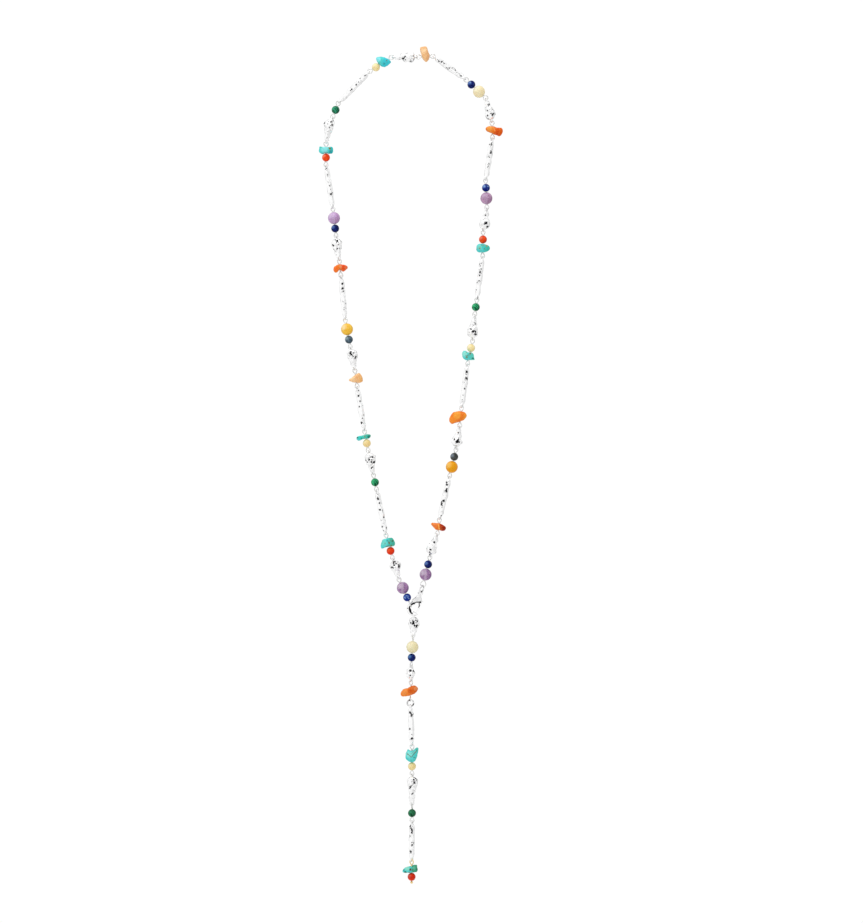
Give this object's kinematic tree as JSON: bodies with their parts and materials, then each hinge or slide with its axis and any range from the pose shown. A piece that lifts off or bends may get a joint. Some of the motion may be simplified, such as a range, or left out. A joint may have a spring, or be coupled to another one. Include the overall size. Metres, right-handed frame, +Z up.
{
  "type": "gemstone necklace",
  "caption": "Long hanging necklace of wired gemstone beads and tumbled chips between hammered silver bars and nuggets, closed by a lobster clasp above a straight beaded drop.",
  "frame": {"origin": "under the top of the chain, where the back of a neck carries it", "axes": "+Z up along the hanging drop, +X to the right seen from the front, -Y to the front"},
  "size_m": [0.092, 0.006, 0.4186],
  "materials": {
    "silver": "polished cast silver, hammered and dented, with dark specks in the hollows",
    "wire": "polished silver wire with a faint warm cast",
    "amethyst": "polished, lilac to purple, slightly cloudy",
    "lapis": "polished deep blue with pale streaks and gold flecks",
    "malachite": "polished green with dark curved bands",
    "turquoise": "waxy blue-green with brown matrix",
    "carnelian": "polished translucent orange-red",
    "yellow": "polished pale yellow, milky",
    "cream": "polished cream, milky",
    "amber": "polished amber-yellow, milky",
    "peach": "tumbled peach, slightly cloudy",
    "orange": "tumbled orange carnelian, lighter and darker zones"
  },
  "bodies": {
    "necklace": {"clasp_body": "silver", "clasp_ring": "silver", "drop_ring": "silver", "bar_links_right": "silver", "bar_links_left": "silver", "bar_links_drop": "silver", "nugget_links_right": "silver", "nugget_links_left": "silver", "nugget_links_drop": "silver", "eye_wires_right": "wire", "eye_wires_left": "wire", "eye_wires_drop": "wire", "head_pin": "wire", "amethyst_bead_1": "amethyst", "lapis_bead_1": "lapis", "amber_bead_1": "amber", "lapis_bead_2": "lapis", "yellow_bead_1": "yellow", "malachite_bead_1": "malachite", "carnelian_bead_1": "carnelian", "amethyst_bead_2": "amethyst", "lapis_bead_3": "lapis", "cream_bead_1": "cream", "lapis_bead_4": "lapis", "yellow_bead_2": "yellow", "malachite_bead_2": "malachite", "carnelian_bead_2": "carnelian", "amethyst_bead_3": "amethyst", "lapis_bead_5": "lapis", "amber_bead_2": "amber", "lapis_bead_6": "lapis", "yellow_bead_3": "yellow", "malachite_bead_3": "malachite", "carnelian_bead_3": "carnelian", "amethyst_bead_4": "amethyst", "lapis_bead_7": "lapis", "cream_bead_2": "cream", "lapis_bead_8": "lapis", "yellow_bead_4": "yellow", "malachite_bead_4": "malachite", "carnelian_bead_4": "carnelian", "orange_chip_1": "orange", "orange_chip_2": "orange", "orange_chip_3": "orange", "orange_chip_4": "orange", "orange_chip_5": "orange", "turquoise_chip_1": "turquoise", "turquoise_chip_2": "turquoise", "turquoise_chip_3": "turquoise", "turquoise_chip_4": "turquoise", "turquoise_chip_5": "turquoise", "turquoise_chip_6": "turquoise", "turquoise_chip_7": "turquoise", "turquoise_chip_8": "turquoise", "peach_chip_1": "peach", "peach_chip_2": "peach"},
    "clasp_lever": {"clasp_lever": "silver"}
  },
  "joints": [
    {"name": "lever_hinge", "type": "hinge", "parent": "necklace", "child": "clasp_lever", "pos_m": [0.00389, 0, -0.26898], "axis": [0, 1, 0], "range_deg": [0, 20], "stiffness_Nm_per_rad": 0.002, "springref_deg": -8.59}
  ]
}
